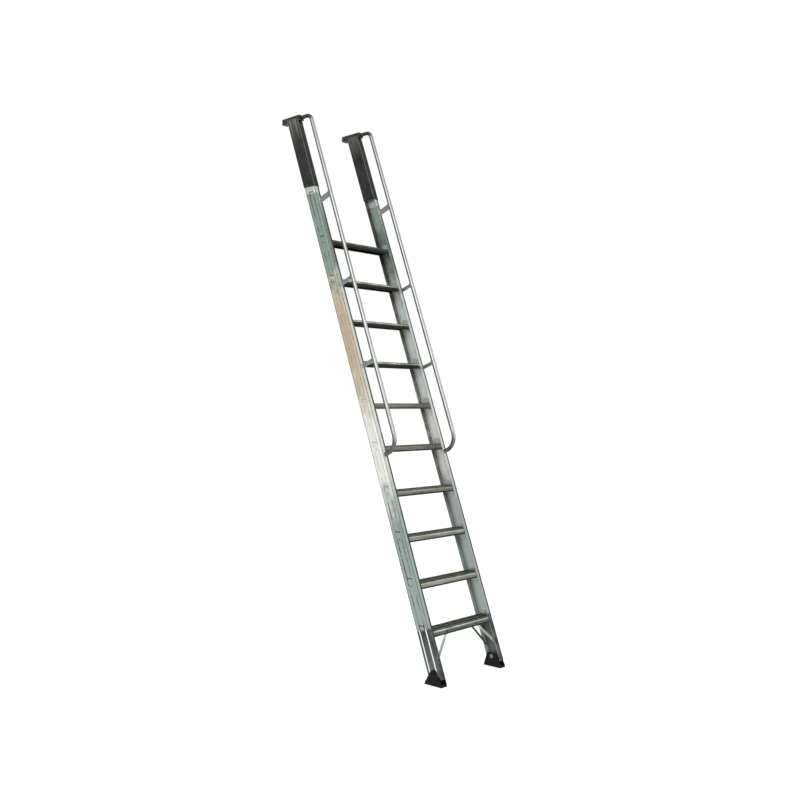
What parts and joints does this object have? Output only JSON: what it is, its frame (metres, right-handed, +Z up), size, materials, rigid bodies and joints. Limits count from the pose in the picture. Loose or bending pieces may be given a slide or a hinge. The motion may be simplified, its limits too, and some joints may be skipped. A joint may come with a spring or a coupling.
{
  "type": "warehouse lean-to ladder",
  "caption": "Aluminium lean-to warehouse ladder with flat treads, bent tube handrails, black top sleeves and caps with rear lips, and swivel feet.",
  "frame": {"origin": "on the floor, at the middle of the ladder's outline seen from above", "axes": "+X across the ladder, +Y the way it leans, from the climber to the wall, +Z up"},
  "size_m": [0.5754, 1.3476, 3.35],
  "materials": {
    "stile_aluminium": "mill-finish extrusion with fine drawing lines",
    "tread_aluminium": "dull mill-finish extrusion",
    "bracket_aluminium": "mill-finish extrusion",
    "rail_aluminium": "satin drawn tube",
    "rivet_aluminium": "bright blind rivets",
    "zinc_steel": "zinc-plated",
    "black_steel": "black zinc",
    "plug_nylon": "moulded nylon",
    "sleeve_pvc": "satin extruded PVC",
    "cap_moulding": "satin moulding",
    "shoe_moulding": "matt moulding",
    "sole_rubber": "matt rubber"
  },
  "bodies": {
    "frame": {"stile_left": "stile_aluminium", "stile_right": "stile_aluminium", "tread_01": "tread_aluminium", "tread_02": "tread_aluminium", "tread_03": "tread_aluminium", "tread_04": "tread_aluminium", "tread_05": "tread_aluminium", "tread_06": "tread_aluminium", "tread_07": "tread_aluminium", "tread_08": "tread_aluminium", "tread_09": "tread_aluminium", "tread_10": "tread_aluminium", "tread_brackets_left": "bracket_aluminium", "tread_brackets_right": "bracket_aluminium", "standoff_1_left": "bracket_aluminium", "standoff_1_right": "bracket_aluminium", "standoff_2_left": "bracket_aluminium", "standoff_2_right": "bracket_aluminium", "standoff_3_left": "bracket_aluminium", "standoff_3_right": "bracket_aluminium", "front_brace_left": "bracket_aluminium", "front_brace_right": "bracket_aluminium", "rear_brace_left": "bracket_aluminium", "rear_brace_right": "bracket_aluminium", "handrail_left": "rail_aluminium", "handrail_right": "rail_aluminium", "tread_rivets_left": "rivet_aluminium", "tread_rivets_right": "rivet_aluminium", "ledge_rivets_left": "rivet_aluminium", "ledge_rivets_right": "rivet_aluminium", "sleeve_rivets_left": "rivet_aluminium", "sleeve_rivets_right": "rivet_aluminium", "brace_rivets_left": "rivet_aluminium", "brace_rivets_right": "rivet_aluminium", "standoff_screws_left": "zinc_steel", "standoff_screws_right": "zinc_steel", "rail_bolt_left": "zinc_steel", "rail_bolt_right": "zinc_steel", "pivot_washer_left": "zinc_steel", "pivot_washer_right": "zinc_steel", "pivot_nut_left": "zinc_steel", "pivot_nut_right": "zinc_steel", "pivot_bolt_left": "black_steel", "pivot_bolt_right": "black_steel", "rail_plug_left": "plug_nylon", "rail_plug_right": "plug_nylon", "pivot_spacer_left": "plug_nylon", "pivot_spacer_right": "plug_nylon", "sleeve_left": "sleeve_pvc", "sleeve_right": "sleeve_pvc", "top_cap_left": "cap_moulding", "top_cap_right": "cap_moulding"},
    "left_foot": {"shoe_left": "shoe_moulding", "sole_pad_left": "sole_rubber"},
    "right_foot": {"shoe_right": "shoe_moulding", "sole_pad_right": "sole_rubber"}
  },
  "joints": [
    {"name": "left_foot_swivel", "type": "hinge", "parent": "frame", "child": "left_foot", "pos_m": [-0.2777, -0.61281, 0.062], "axis": [1, 0, 0], "range_deg": [-25, 60]},
    {"name": "right_foot_swivel", "type": "hinge", "parent": "frame", "child": "right_foot", "pos_m": [0.2777, -0.61281, 0.062], "axis": [1, 0, 0], "range_deg": [-25, 60]}
  ]
}
